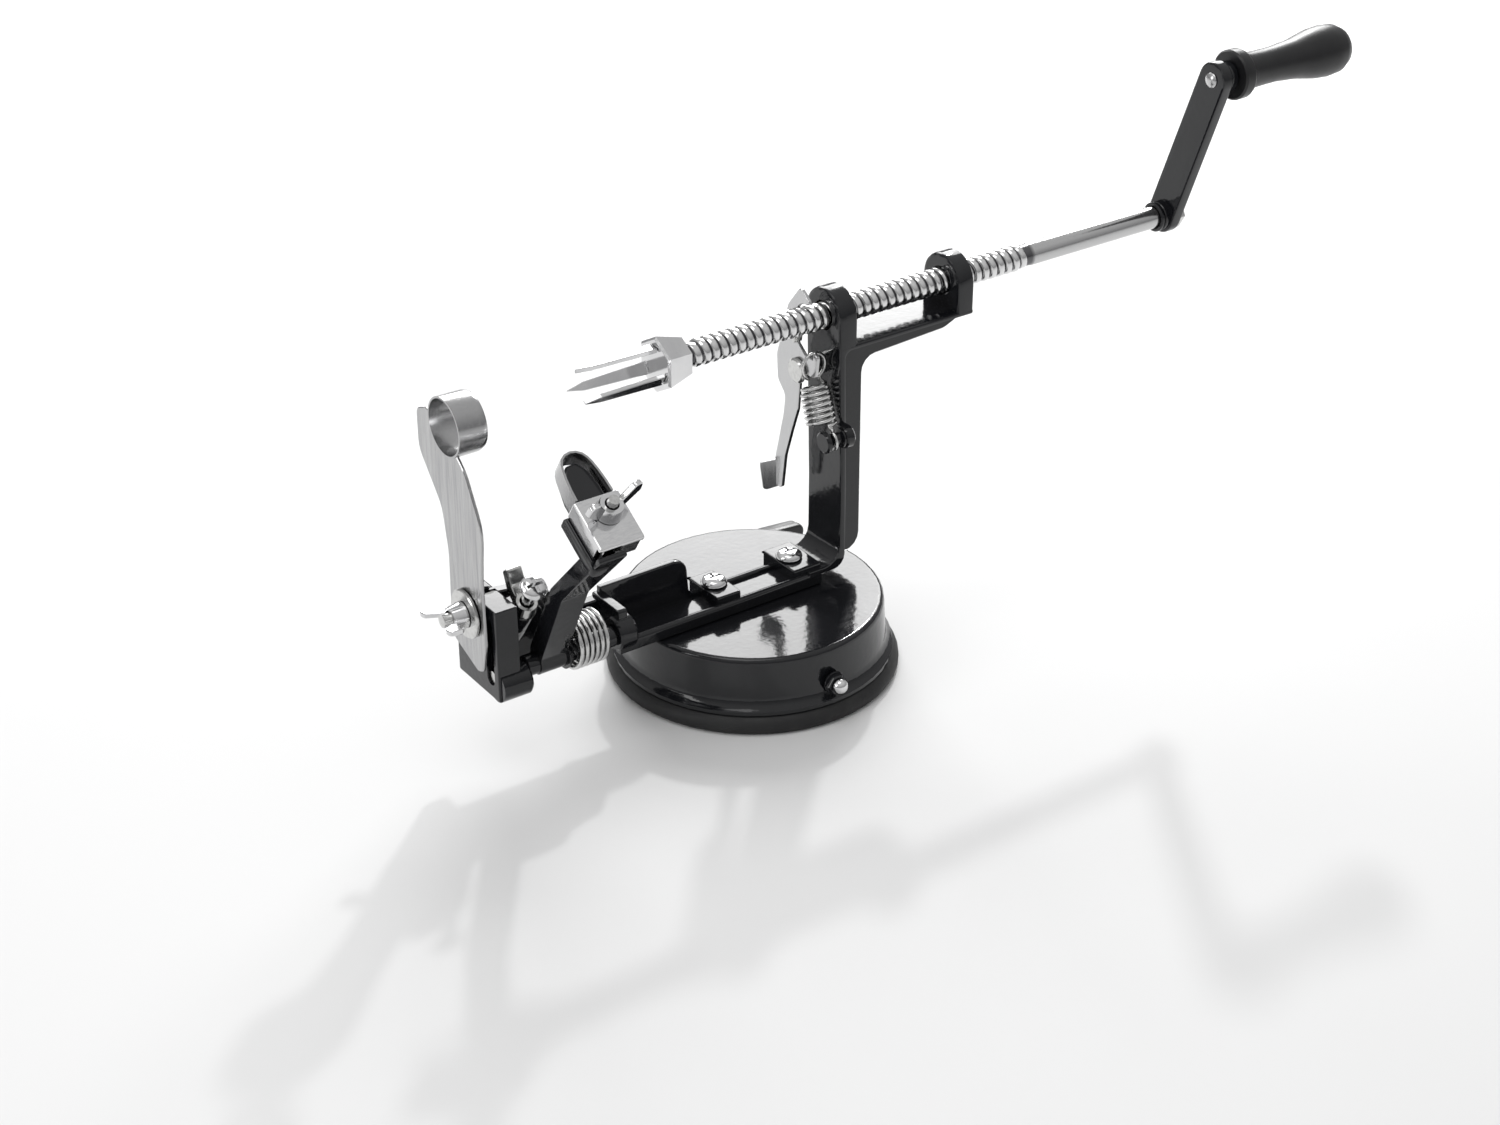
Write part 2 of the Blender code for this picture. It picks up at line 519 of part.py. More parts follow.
def crank():
    washer = revolve("X", (0, AXIS_Z), [(ROD_R + 0.35, 206.6), (5.9, 206.6), (6.3, 207.0), (6.3, 207.8),
                                        (5.9, 208.2), (ROD_R + 0.35, 208.2)], 24, ring=True)
    keep("crank_washer", washer, "black_enamel", (0, 0, AXIS_Z))
    reach = Vector((GRIP_Y, GRIP_Z - AXIS_Z)).length
    lean = math.atan2(-GRIP_Y, GRIP_Z - AXIS_Z)
    outline = arc(0, 0, 7.5, 180, 360, 12) + arc(0, reach, 7.4, 0, 180, 12)
    arm = prism("X", outline, CRANK_X, CRANK_X + CRANK_T, 0.9, 2)
    arm = carve(arm, ("+", revolve("X", (0, 0), [(6.1, 208.5), (6.4, 208.9), (6.4, CRANK_X + 1)], 24)),
                ("+", revolve("X", (0, reach), [(6.3, CRANK_X + 1), (6.3, 219.4), (5.9, 219.9)], 24)),
                ("-", cylinder("X", (0, 0), ROD_R + 0.3, 200.0, CRANK_X - 0.3, 24)),
                ("-", cylinder("X", (0, 0), 3.7, 200.0, 230.0, 20)),
                ("-", cylinder("X", (0, reach), 2.9, 200.0, 230.0, 20)))
    turn = Matrix.Translation((0, 0, AXIS_Z)) @ Matrix.Rotation(lean, 4, "X")
    keep("crank_arm", moved(arm, turn), "black_enamel", (0, 0, AXIS_Z))
    nut = revolve("X", (0, AXIS_Z), [(0, 216.1), (6.2, 216.1), (6.8, 216.6), (6.8, 219.0), (6.2, 219.6),
                                     (0, 219.6)], 6)
    nut = carve(nut, ("-", cylinder("X", (0, AXIS_Z), 3.75, 210.0, 225.0, 20)))
    keep("crank_nut", nut, "zinc", (0, 0, AXIS_Z))
    pin = revolve("X", (GRIP_Y, GRIP_Z), [(0, 208.8), (1.6, 209.0), (2.8, 209.6), (3.2, 210.2), (2.6, 210.2),
                                          (2.6, 280.8), (0, 280.8)], 20)
    keep("grip_rivet", pin, "zinc", (0, GRIP_Y, GRIP_Z))


def grip():
    outer = [(7.0, 220.3), (9.7, 220.5), (10.4, 221.3), (10.4, 225.2), (9.8, 226.4), (8.1, 227.4),
             (7.5, 231.0), (7.3, 237.0), (7.3, 244.0), (8.2, 255.0), (9.4, 261.5), (10.4, 267.0), (10.8, 273.0),
             (10.3, 278.6), (8.4, 282.4), (5.4, 284.4), (0, 285.2)]
    bore = [(0, 281.2), (2.95, 281.2), (2.95, 220.3)]
    shape = revolve("X", (GRIP_Y, GRIP_Z), bore + outer, 28)
    keep("crank_grip", shape, "black_plastic", (0, GRIP_Y, GRIP_Z))


# ---------------------------------------------------------------- release lever


def release_lever():
    notch = [(6.5 * math.cos(math.radians(t)), AXIS_Z + 6.5 * math.sin(math.radians(t))) for t in range(-50, 96, 18)]
    notch = [(u, v, 0) for u, v in notch]
    outline = [(4.0, 157.2, 2.2), (12.0, 147.2, 7.0), (16.0, 133.9, 8.0), (19.4, 123.0, 8.0), (18.6, 112.0, 5.0),
               (13.4, 107.0, 4.0), (14.6, 98.0, 8.0), (20.6, 74.0, 0), (20.0, 62.6, 2.5), (15.2, 64.2, 1.5),
               (13.0, 79.6, 6.0), (8.6, 93.0, 6.0), (4.8, 103.6, 5.0), (3.5, 117.4, 3.0), (-0.4, 121.3, 2.0),
               (-6.7, 121.7, 1.2), (-7.9, 131.0, 1.2), (-4.9, 133.0, 0.7), (-4.9, 129.1, 0.4), (0.2, 129.1, 2.0),
               (6.2, 133.6, 2.0)] + notch + [(-2.8, 152.2, 1.0)]
    outline = [(u, v, q) for u, v, q in outline]
    plate = prism("X", rounded(outline, 3), LEV_X0, LEV_X1, 0.3, 1)
    hinge = Matrix.Translation((LEV_X1, 20.0, 68.0)) @ Matrix.Rotation(math.radians(50), 4, "Z") @ \
        Matrix.Translation((-LEV_X1, -20.0, -68.0))
    flap = rounded([(18.8, 63.2, 0), (26.0, 60.4, 1.5), (27.6, 73.4, 1.5), (19.8, 75.4, 0)], 3)
    flap = moved(prism("X", flap, LEV_X0, LEV_X1, 0.3, 1), hinge)
    keep("release_lever", carve(plate, ("+", flap), ("-", cylinder("X", (LEV_Y, LEV_Z), 2.5, 20.0, 40.0, 18))),
         "blade_steel", (0, LEV_Y, LEV_Z))
    cradle = [(6.0 * math.cos(math.radians(t)), AXIS_Z + 6.0 * math.sin(math.radians(t)))
              for t in range(-80, 11, 10)]
    cradle += [(9.6 * math.cos(math.radians(t)), AXIS_Z + 9.6 * math.sin(math.radians(t)))
               for t in range(10, -81, -10)]
    keep("half_nut", prism("X", cradle, LEV_X0 - 4.4, LEV_X0 - 0.3, 0.3, 1), "zinc", (0, LEV_Y, LEV_Z))


def lever_pivot():
    face = post_left(LEV_Z) - 0.35
    pin = revolve("X", (LEV_Y, LEV_Z), [(0, 23.3), (4.4, 23.3), (5.2, 23.9), (5.2, 25.0), (2.2, 25.0),
                                        (2.2, 27.1), (4.2, 27.1), (4.2, face), (2.0, face), (2.0, 40.0),
                                        (0, 40.0)], 22)
    keep("lever_pivot_pin", pin, "zinc", (0, LEV_Y, LEV_Z))
    face = post_left(STUD_Z) - 2.15
    stud = revolve("X", (STUD_Y, STUD_Z), [(0, 23.6), (3.8, 23.6), (4.5, 24.2), (4.5, 25.4), (2.5, 26.0),
                                           (2.5, face - 1.2), (4.1, face - 0.7), (4.1, face), (2.0, face),
                                           (2.0, 37.4), (0, 37.4)], 22)
    keep("spring_stud", stud, "black_enamel", (0, STUD_Y, STUD_Z))


def extension_spring():
    """Centre line of the wire: round top hook, coils and a bottom hook around the stud."""
    top, low = Vector((SPRING_X, -3.3, 125.6)), Vector((SPRING_X + 1.0, STUD_Y, STUD_Z))
    start, end = Vector((SPRING_X, -3.8, 117.8)), Vector((SPRING_X, -9.2, 102.2))
    axis = (end - start).normalized()
    across = Vector((1, 0, 0))
    third = axis.cross(across)
    points = []
    for k in range(13):
        a = math.radians(-150 + 300 * k / 12)
        points.append(top + Vector((5.6 * math.sin(a), 0, 5.6 * math.cos(a))))
    turns, radius, sides = 7.25, 5.5, 12
    lift = (end - start).length / turns
    for k in range(int(turns * sides) + 1):
        a = math.tau * k / sides
        grow = min(1.0, 0.8 + 0.2 * k / sides)
        points.append(start + axis * (lift * k / sides) + (across * math.cos(a) + third * math.sin(a)) * radius * grow)
    for k in range(11):
        a = math.radians(95 + 265 * k / 10)
        points.append(low + Vector((0.0, 3.8 * math.cos(a), 3.8 * math.sin(a))))
    return points


def springs():
    hooks = extension_spring()
    keep("extension_spring", tube(hooks, 0.75, 5), "spring_steel", (SPRING_X, STUD_Y, STUD_Z))
    cy, cz, radius, wire, sides = ROD_Y, 43.9, 9.8, 0.92, 12
    turns, pitch = 6.2, 2.3
    points = [(-94.9, -15.6, 63.3), (-94.9, -12.8, 58.3)]
    first = math.radians(118)
    for k in range(int(turns * sides) + 1):
        a = first - math.tau * k / sides
        points.append((-94.8 + pitch * k / sides, cy + radius * math.cos(a), cz + radius * math.sin(a)))
    end_x = points[-1][0]
    tail = first - math.tau * int(turns * sides) / sides
    here = Vector((cy + radius * math.cos(tail), cz + radius * math.sin(tail)))
    away = Vector((math.sin(tail), -math.cos(tail)))
    for reach in (4.0, 9.0):
        spot = here + away * reach
        points.append((end_x + 1.2 * reach / 9.0, spot.x, spot.y))
    keep("torsion_spring", tube(points, wire, 5), "spring_steel", (-90.0, cy, cz))


# ---------------------------------------------------------------- peeling arm


def head_frame():
    return Matrix.Translation(HEAD) @ Matrix.Rotation(HEAD_TILT, 4, "X")


def peeler_arm():
    side = rounded([(-14.3, 38.2, 0), (-14.6, 43.6, 3.0), (-31.6, 78.0, 10.0), (-59.9, 107.0, 1.0), (-57.9, 108.4, 0.6),
                    (-54.4, 103.0, 0.4), (-46.4, 103.8, 3.0), (-23.6, 79.6, 10.0), (-13.4, 60.0, 8.0), (-6.2, 45.6, 4.0),
                    (-6.0, 38.0, 0)], 4)
    bar = prism("X", side, ARM_X0, ARM_X1, 0.9, 2)
    hub = revolve("X", (ROD_Y, ROD_Z), [(3.9, -113.2), (4.3, -112.7), (4.3, ARM_X0 - 0.1), (4.9, ARM_X0), (4.9, ARM_X1),
                                        (6.3, ARM_X1), (6.3, ARM_X1 + 0.9), (4.3, ARM_X1 + 1.1),
                                        (4.3, -73.8)], 24)
    shoulder = prism("Z", rounded([(-11.3, -24.5, 2.5), (-4.0, -24.5, 1.5), (-3.0, -13.5, 2.0), (9.0, -12.5, 2.0), (9.0, -0.4, 1.0),
                               (-11.3, -0.4, 1.0)], 3),
                     -14.0, -9.4, 0.8, 2)
    nose = rounded([(-6.2, -17.6, 1.0), (6.2, -17.6, 1.0), (6.2, 6.0, 2.0), (4.8, 13.0, 3.0), (2.4, 17.0, 2.2),
                    (-2.4, 17.0, 2.2), (-4.8, 13.0, 3.0), (-6.2, 6.0, 2.0)], 3)
    tongue = carve(prism("Z", nose, -13.4, -4.2, 0.7, 2),
                   ("+", box(-5.9, 5.9, -17.2, -1.0, -6.0, -1.5, 0.4, 1)))
    head = carve(shoulder, ("+", tongue), ("-", cylinder("Z", BOLT_XY, 2.9, -20.0, 5.0, 18)))
    arm = carve(bar, ("+", hub), ("+", moved(head, head_frame())),
                ("-", cylinder("X", (ROD_Y, ROD_Z), PIVOT_R + 0.3, -120.0, -60.0, 20)))
    keep("peeler_arm", arm, "black_enamel", (0, ROD_Y, ROD_Z))


def clamp_box():
    half = BOX_W / 2
    cover = box(-half, half, -BOX_L, 0, -BOX_D, 0, 0.9, 2)
    inside = box(-half + SHEET, half - SHEET, -BOX_L + SHEET, 5.0, -BOX_D - 5, -SHEET)
    steps = [("-", inside), ("-", cylinder("Z", BOLT_XY, 2.9, -5.0, 5.0, 18))]
    for side in (-1, 1):
        steps.append(("-", box(side * half - 1.9, side * half + 1.9, -BOX_L - 1, -BOX_L + 1.9, -BOX_D - 1, -1.6)))
    keep("clamp_box", moved(carve(cover, *steps), head_frame()), "chrome", (0, ROD_Y, ROD_Z))


def peeler_blade():
    line = [(1.0, -19.2), (1.0, 1.0), (0.975, 5.5), (0.91, 10.0), (0.815, 14.0)] + [
        (0.755 * math.cos(math.radians(a)), 14.6 + 5.3 * math.sin(math.radians(a))) for a in (18, 40, 65)]
    line = [(u * BAND_HALF, v) for u, v in line]
    line = line + [(0.0, 19.9)] + [(-u, v) for u, v in reversed(line)]
    outer, inner = [], []
    for i, point in enumerate(line):
        here = Vector(point)
        ahead = (Vector(line[min(i + 1, len(line) - 1)]) - Vector(line[max(i - 1, 0)])).normalized()
        side = Vector((ahead.y, -ahead.x))
        outer.append(here + side * BAND_T / 2)
        inner.append(here - side * BAND_T / 2)
    band = prism("Z", outer + inner[::-1], -0.5 - BAND_W, -0.5)
    band = carve(band, ("-", box(-9.0, 9.0, -30.0, 0.5, -1.6, 0.0)))
    keep("peeler_blade", moved(band, head_frame()), "blade_steel", (0, ROD_Y, ROD_Z))


def clamp_bolt():
    x, y = BOLT_XY
    shank = threaded(2.5, -14.6, 8.8, 2.2, 0.35)
    head = revolve("Z", (0, 0), [(0, -17.6), (4.2, -17.4), (4.8, -16.8), (4.8, -14.3), (0, -14.3)], 6)
    bolt = moved(carve(shank, ("+", head)), Matrix.Translation((x, y, 0)))
    keep("clamp_bolt", moved(bolt, head_frame()), "zinc", (0, ROD_Y, ROD_Z))
    nut = moved(wing_nut(2.8, math.radians(11)), Matrix.Translation((x, y, 0.3)))
    spot = head_frame() @ Vector((x, y, 0.3))
    keep("clamp_wing_nut", moved(nut, head_frame()), "chrome", spot)


# ---------------------------------------------------------------- slicing blade and fasteners


def slicer():
    outline = rounded([(-5.5, 42.0, 2.5), (12.4, 49.0, 3.0), (13.4, 60.0, 8.0), (12.6, 86.0, 30.0), (16.0, 104.0, 14.0),
                       (31.0, 122.0, 10.0), (31.0, 138.5, 3.0), (23.5, 141.6, 2.0), (10.5, 137.4, 6.0),
                       (-3.6, 125.6, 12.0), (-14.0, 106.0, 20.0), (-11.6, 84.0, 30.0), (-12.2, 56.0, 8.0),
                       (-9.5, 44.0, 2.5)], 3)
    blade = prism("X", outline, SLICE_X0, SLICE_X1, 0.3, 1)
    keep("slicer_blade", carve(blade, ("-", cylinder("X", (SLICE_Y, SLICE_Z), 3.3, -140.0, -120.0, 18)),
                               ("-", cylinder("X", (0, AXIS_Z), RING_R + RING_T + 0.3, -140.0, -120.0, 36))),
         "blade_steel", (SLICE_X1, SLICE_Y, SLICE_Z))
    ring = revolve("X", (0, AXIS_Z), [(RING_R, -135.6), (RING_R + RING_T, -135.6), (RING_R + RING_T, -125.4),
                                      (RING_R + 0.15, -123.6), (RING_R, -123.6)], 36, ring=True)
    keep("coring_ring", ring, "blade_steel", (SLICE_X1, SLICE_Y, SLICE_Z))


def slicer_fasteners():
    to_x = Matrix.Translation((0, SLICE_Y, SLICE_Z)) @ Matrix.Rotation(math.radians(-90), 4, "Y")
    washer = revolve("Z", (0, 0), [(3.4, 130.5), (9.4, 130.5), (9.8, 130.9), (9.8, 131.8), (9.4, 132.2), (3.4, 132.2)],
                     28, ring=True)
    keep("slicer_washer", moved(washer, to_x), "zinc", (-131.0, SLICE_Y, SLICE_Z))
    nut = moved(wing_nut(3.3, math.radians(90 + 6)), Matrix.Translation((0, 0, 132.5)))
    keep("slicer_wing_nut", moved(nut, to_x), "zinc", (-132.5, SLICE_Y, SLICE_Z))
    bolt = carve(threaded(3.0, 119.0, 141.5, 2.2, 0.4),
                 ("+", revolve("Z", (0, 0), [(0, 118.0), (5.2, 118.0), (5.8, 118.6), (5.8, 122.6), (0, 122.6)], 6)))
    keep("slicer_bolt", moved(bolt, to_x), "zinc", (-131.0, SLICE_Y, SLICE_Z))


def stop_screw():
    head = moved(pan_head(5.4, 3.2), Matrix.Translation((0, 0, -1.6)))
    screw = carve(head, ("+", threaded(2.6, -29.0, -1.2, 2.4, 0.35)))
    keep("stop_screw", moved(screw, stop_frame()), "zinc", (STOP_X, STOP_Y, STOP_Z))
    lock = revolve("Z", (0, 0), [(2.9, -16.3), (5.0, -16.3), (5.0, -15.0), (4.2, -11.2), (2.9, -11.2)], 20, ring=True)
    ear = rounded([(3.6, -15.8, 0), (8.0, -15.4, 1.0), (14.8, -10.6, 1.2), (13.4, -6.4, 1.2), (8.0, -10.0, 1.0),
                   (3.6, -11.6, 0)], 3)
    lock = carve(lock, ("+", prism("X", ear, -3.2, 3.2, 0.6, 1)))
    keep("stop_lock_nut", moved(lock, stop_frame()), "zinc", (STOP_X, STOP_Y, STOP_Z))


def pivot_rod():
    rod = revolve("X", (ROD_Y, ROD_Z), [(0, -126.6), (PIVOT_R, -126.6), (PIVOT_R, -64.6), (2.0, -63.9), (0, -63.7)], 20)
    keep("pivot_rod", rod, "zinc", (0, ROD_Y, ROD_Z))


clear_scene()
make_materials()
PART = bpy.data.collections.new("apple_peeler_corer")
bpy.context.scene.collection.children.link(PART)

base_housing()
rubber_foot()
suction_stud()
cam_pin()
pin_nut()
suction_lever()
frame_casting()
base_screws()
spindle_rod()
fork()
crank()
grip()
release_lever()
lever_pivot()
springs()
pivot_rod()
peeler_arm()
clamp_box()
peeler_blade()
clamp_bolt()
slicer()
slicer_fasteners()
stop_screw()
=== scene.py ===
import math

import bmesh
import bpy
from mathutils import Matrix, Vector


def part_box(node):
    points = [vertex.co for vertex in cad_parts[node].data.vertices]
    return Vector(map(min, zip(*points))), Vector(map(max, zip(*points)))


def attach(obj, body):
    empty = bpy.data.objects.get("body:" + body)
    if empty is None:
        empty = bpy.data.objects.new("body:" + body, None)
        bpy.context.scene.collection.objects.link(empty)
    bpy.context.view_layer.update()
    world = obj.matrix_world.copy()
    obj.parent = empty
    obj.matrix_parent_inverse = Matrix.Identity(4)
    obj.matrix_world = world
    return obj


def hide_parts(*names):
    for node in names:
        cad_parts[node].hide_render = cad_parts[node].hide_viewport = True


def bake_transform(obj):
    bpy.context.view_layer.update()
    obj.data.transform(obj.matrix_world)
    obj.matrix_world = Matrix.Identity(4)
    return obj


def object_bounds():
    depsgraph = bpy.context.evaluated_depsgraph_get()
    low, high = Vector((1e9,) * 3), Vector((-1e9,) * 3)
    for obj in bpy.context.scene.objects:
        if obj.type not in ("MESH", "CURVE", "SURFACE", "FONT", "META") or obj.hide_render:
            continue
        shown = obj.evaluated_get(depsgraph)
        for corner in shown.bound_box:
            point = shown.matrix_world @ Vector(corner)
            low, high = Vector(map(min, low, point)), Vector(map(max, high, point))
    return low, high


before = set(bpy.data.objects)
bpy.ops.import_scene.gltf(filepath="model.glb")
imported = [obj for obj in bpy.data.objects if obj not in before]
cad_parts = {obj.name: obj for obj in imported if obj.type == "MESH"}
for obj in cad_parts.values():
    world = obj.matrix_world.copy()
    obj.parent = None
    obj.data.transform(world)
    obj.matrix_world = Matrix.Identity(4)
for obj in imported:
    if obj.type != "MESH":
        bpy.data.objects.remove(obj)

# Looks for the apple peeler corer, in metres in the CAD frame. Every CAD solid stays, with a
# procedural material, except the spindle's rod and the two springs: detailed pieces replace those.

CAD_BOX = [list(map(float, corner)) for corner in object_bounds()]

ROD_LOW, ROD_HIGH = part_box("spindle_rod")
AXIS = Vector((0.0, (ROD_LOW.y + ROD_HIGH.y) / 2, (ROD_LOW.z + ROD_HIGH.z) / 2))
HUB_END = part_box("fork_hub")[1].x
CRANK_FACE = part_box("crank_arm")[0].x
STUD_LOW, STUD_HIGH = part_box("spring_stud")
STUD = (STUD_LOW + STUD_HIGH) / 2


# ---------------------------------------------------------------- materials

# Radii between which the thread's colour goes from painted shade at its root to its plain plated
# colour at its crest.
PAINTED_SHADE_ROOT, UNSHADED_CREST = 0.00438, 0.0049


class Surface:
    """A Principled material whose colour, roughness and bump come from object-space textures."""

    def __init__(self, name, colour, metallic, roughness, **sockets):
        self.mat = bpy.data.materials.new(name)
        self.mat.use_nodes = True
        self.tree = self.mat.node_tree
        self.shader = self.tree.nodes["Principled BSDF"]
        self.set(self.shader, Metallic=metallic, Roughness=roughness, **sockets)
        self.shader.inputs["Base Color"].default_value = (*colour, 1.0)
        self.coords = self.node("TexCoord").outputs["Object"]
        self.normal = None

    def node(self, kind, **sockets):
        node = self.tree.nodes.new("ShaderNode" + kind)
        self.set(node, **sockets)
        return node

    def set(self, node, **sockets):
        for key, value in sockets.items():
            node.inputs[key.replace("_", " ")].default_value = value

    def link(self, a, b):
        self.tree.links.new(a, b)

    def noise(self, scale, detail, rough, stretch=(1, 1, 1)):
        mapping = self.node("Mapping", Scale=stretch)
        node = self.node("TexNoise", Scale=scale, Detail=detail, Roughness=rough)
        self.link(self.coords, mapping.inputs["Vector"])
        self.link(mapping.outputs["Vector"], node.inputs["Vector"])
        return node.outputs["Fac"]

    def cells(self, scale):
        node = self.node("TexVoronoi", Scale=scale)
        self.link(self.coords, node.inputs["Vector"])
        return node.outputs["Distance"]

    def span(self, value, source, target):
        """Maps value from the source range to the target range."""
        node = self.node("MapRange", From_Min=source[0], From_Max=source[1],
                         To_Min=target[0], To_Max=target[1])
        self.link(value, node.inputs["Value"])
        return node.outputs["Result"]

    def thread_height(self):
        """0 at the thread's root and 1 at its crest."""
        parts, flat = self.node("SeparateXYZ"), self.node("CombineXYZ")
        self.link(self.coords, parts.inputs["Vector"])
        for side in "YZ":
            self.link(parts.outputs[side], flat.inputs[side])
        gap = self.node("VectorMath")
        gap.operation = "DISTANCE"
        gap.inputs[1].default_value = AXIS
        self.link(flat.outputs["Vector"], gap.inputs[0])
        return self.span(gap.outputs["Value"], (PAINTED_SHADE_ROOT, UNSHADED_CREST), (0.0, 1.0))

    def rough_from(self, value, source, target):
        self.link(self.span(value, source, target), self.shader.inputs["Roughness"])

    def colour_from(self, value, stops, dark, light):
        ramp = self.node("ValToRGB")
        for element, stop, colour in zip(ramp.color_ramp.elements, stops, (dark, light)):
            element.position = stop
            element.color = (*colour, 1)
        self.link(value, ramp.inputs["Fac"])
        self.link(ramp.outputs["Color"], self.shader.inputs["Base Color"])

    def bump(self, value, strength, depth):
        node = self.node("Bump", Strength=strength, Distance=depth)
        self.link(value, node.inputs["Height"])
        if self.normal is not None:
            self.link(self.normal, node.inputs["Normal"])
        self.normal = node.outputs["Normal"]
        self.link(self.normal, self.shader.inputs["Normal"])


def make_enamel():
    """Gloss baked enamel: slight orange peel, faint flow waves and cloudy gloss."""
    s = Surface("gloss_enamel", (0.005, 0.005, 0.006), 0.0, 0.1, IOR=1.5)
    s.rough_from(s.noise(scale=38.0, detail=4.0, rough=0.6),
                 source=(0.3, 0.7), target=(0.06, 0.14))
    s.colour_from(s.noise(scale=55.0, detail=5.0, rough=0.6), stops=(0.3, 0.75),
                  dark=(0.006, 0.0065, 0.008), light=(0.011, 0.0115, 0.0135))
    s.bump(s.noise(scale=420.0, detail=2.0, rough=0.4), strength=0.12, depth=0.0004)
    s.bump(s.noise(scale=60.0, detail=2.0, rough=0.4), strength=0.10, depth=0.0012)
    return s.mat


def make_plastic():
    """Satin moulded plastic with a fine spark-eroded grain."""
    s = Surface("satin_plastic", (0.008, 0.008, 0.009), 0.0, 0.3, IOR=1.48)
    s.rough_from(s.noise(scale=70.0, detail=5.0, rough=0.6),
                 source=(0.3, 0.7), target=(0.30, 0.42))
    s.colour_from(s.noise(scale=130.0, detail=4.0, rough=0.6), stops=(0.3, 0.75),
                  dark=(0.006, 0.006, 0.007), light=(0.012, 0.012, 0.013))
    s.bump(s.noise(scale=2600.0, detail=2.0, rough=0.5), strength=0.22, depth=0.00012)
    return s.mat


def make_rubber():
    """Matt rubber, slightly dusty, with a soft grain."""
    s = Surface("matt_rubber", (0.014, 0.014, 0.015), 0.0, 0.6, IOR=1.45)
    s.rough_from(s.noise(scale=90.0, detail=5.0, rough=0.6),
                 source=(0.3, 0.7), target=(0.48, 0.66))
    s.colour_from(s.noise(scale=60.0, detail=6.0, rough=0.65), stops=(0.35, 0.8),
                  dark=(0.008, 0.008, 0.009), light=(0.020, 0.020, 0.020))
    s.bump(s.noise(scale=1500.0, detail=3.0, rough=0.6), strength=0.3, depth=0.00018)
    return s.mat


def make_chrome():
    """Bright plating over polished steel: faint clouding, pits and slow waviness."""
    s = Surface("bright_chrome", (0.83, 0.83, 0.84), 1.0, 0.1)
    s.rough_from(s.noise(scale=85.0, detail=5.0, rough=0.65),
                 source=(0.3, 0.75), target=(0.06, 0.2))
    s.colour_from(s.noise(scale=48.0, detail=4.0, rough=0.6), stops=(0.25, 0.75),
                  dark=(0.60, 0.60, 0.61), light=(0.78, 0.78, 0.78))
    s.bump(s.noise(scale=150.0, detail=2.0, rough=0.4), strength=0.10, depth=0.0005)
    s.bump(s.noise(scale=1400.0, detail=2.0, rough=0.5), strength=0.05, depth=0.0001)
    return s.mat


def make_plated_thread():
    """Rolled thread under chrome: fine turning marks round the shaft and painted shade darkening
    the root.
    """
    s = Surface("plated_thread", (0.8, 0.8, 0.81), 1.0, 0.14)
    s.rough_from(s.noise(scale=300.0, detail=4.0, rough=0.6, stretch=(6.0, 1.0, 1.0)),
                 source=(0.3, 0.75), target=(0.09, 0.26))
    # Painted shade: the colour darkens from the crest into the thread's root, and anything thinner
    # than the root is fully dark.
    s.colour_from(s.thread_height(), stops=(0.0, 1.0),
                  dark=(0.055, 0.055, 0.06), light=(0.74, 0.74, 0.74))
    s.bump(s.noise(scale=700.0, detail=3.0, rough=0.6, stretch=(5.0, 1.0, 1.0)),
           strength=0.12, depth=0.00012)
    return s.mat


def make_zinc():
    """Bright zinc plating: soft spangle and small scuffs."""
    s = Surface("bright_zinc", (0.68, 0.68, 0.67), 1.0, 0.26)
    s.rough_from(s.noise(scale=210.0, detail=6.0, rough=0.7),
                 source=(0.3, 0.75), target=(0.12, 0.26))
    s.colour_from(s.cells(scale=620.0), stops=(0.05, 0.7),
                  dark=(0.53, 0.53, 0.52), light=(0.63, 0.63, 0.62))
    s.bump(s.noise(scale=900.0, detail=4.0, rough=0.6), strength=0.05, depth=0.0001)
    return s.mat


def make_spring():
    """Nickel plated music wire with draw marks."""
    s = Surface("spring_wire", (0.72, 0.72, 0.72), 1.0, 0.2)
    s.rough_from(s.noise(scale=420.0, detail=4.0, rough=0.6),
                 source=(0.3, 0.75), target=(0.13, 0.32))
    s.colour_from(s.noise(scale=160.0, detail=4.0, rough=0.6), stops=(0.25, 0.75),
                  dark=(0.50, 0.50, 0.50), light=(0.72, 0.72, 0.71))
    s.bump(s.noise(scale=1800.0, detail=2.0, rough=0.5), strength=0.10, depth=0.0001)
    return s.mat


def make_brushed(name, stretch, tint, dull=1.0, wave=(1, 1, 1), wave_strength=0.10, spread=0.3):
    """Sheet metal with a linished grain, which runs along the axis of the smallest stretch.

    tint scales the colour and dull the roughness. wave stretches the sheet's slow waviness, and a
    small spread gives the grain more contrast.
    """
    s = Surface(name, (0.62 * tint, 0.62 * tint, 0.63 * tint), 1.0, 0.3)
    grain = s.noise(scale=260.0, detail=6.0, rough=0.7, stretch=stretch)
    s.rough_from(grain, source=(0.25, 0.8), target=(0.13 * dull, 0.30 * dull))
    s.colour_from(grain, stops=(0.5 - spread, 0.5 + spread),
                  dark=(0.55 * tint, 0.55 * tint, 0.56 * tint),
                  light=(0.70 * tint, 0.70 * tint, 0.70 * tint))
    s.bump(grain, strength=0.06, depth=0.0001)
    s.bump(s.noise(scale=28.0, detail=2.0, rough=0.4, stretch=wave),
           strength=wave_strength, depth=0.0012)
    return s.mat


def make_floor():
    """Plain pale floor with slightly uneven gloss."""
    s = Surface("pale_floor", (0.71, 0.71, 0.71), 0.0, 0.6, IOR=1.3)
    s.rough_from(s.noise(scale=3.0, detail=3.0, rough=0.5),
                 source=(0.3, 0.7), target=(0.55, 0.7))
    return s.mat


